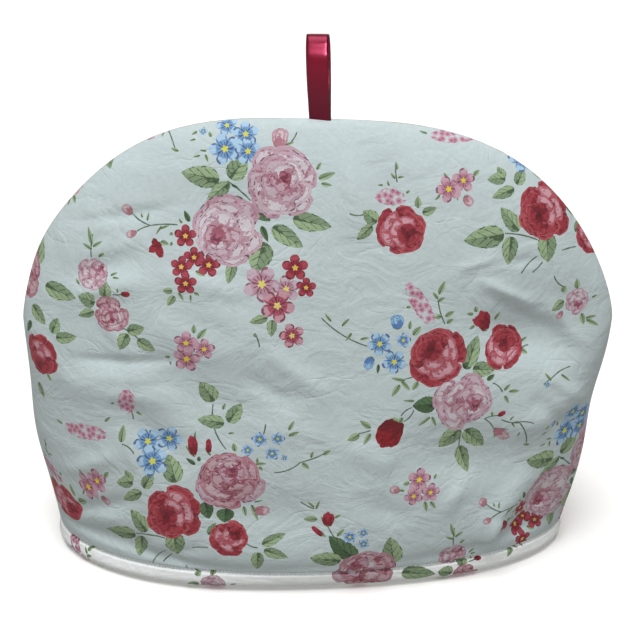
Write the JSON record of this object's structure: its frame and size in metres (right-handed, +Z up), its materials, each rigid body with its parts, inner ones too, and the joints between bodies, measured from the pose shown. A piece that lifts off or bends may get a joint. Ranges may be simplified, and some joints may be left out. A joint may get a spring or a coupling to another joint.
{
  "type": "tea cosy",
  "caption": "Padded tea cosy open at its foot: two bulged cotton panels seamed round a broad arch, a turned and stitched hem, and a ribbon loop at the top.",
  "frame": {"origin": "on the resting plane of the hem, under the middle of the arch", "axes": "+Z up, +X to the right along the front, the front panel faces -Y, the seam lies in the plane y = 0"},
  "size_m": [0.3419, 0.1346, 0.3224],
  "materials": {
    "printed_cotton": "matt woven cotton, pale ground with a printed rose pattern",
    "red_satin": "satin ribbon with a soft sheen"
  },
  "bodies": {
    "root": {"front_panel": "printed_cotton", "back_panel": "printed_cotton", "ribbon_loop": "red_satin"}
  },
  "joints": []
}
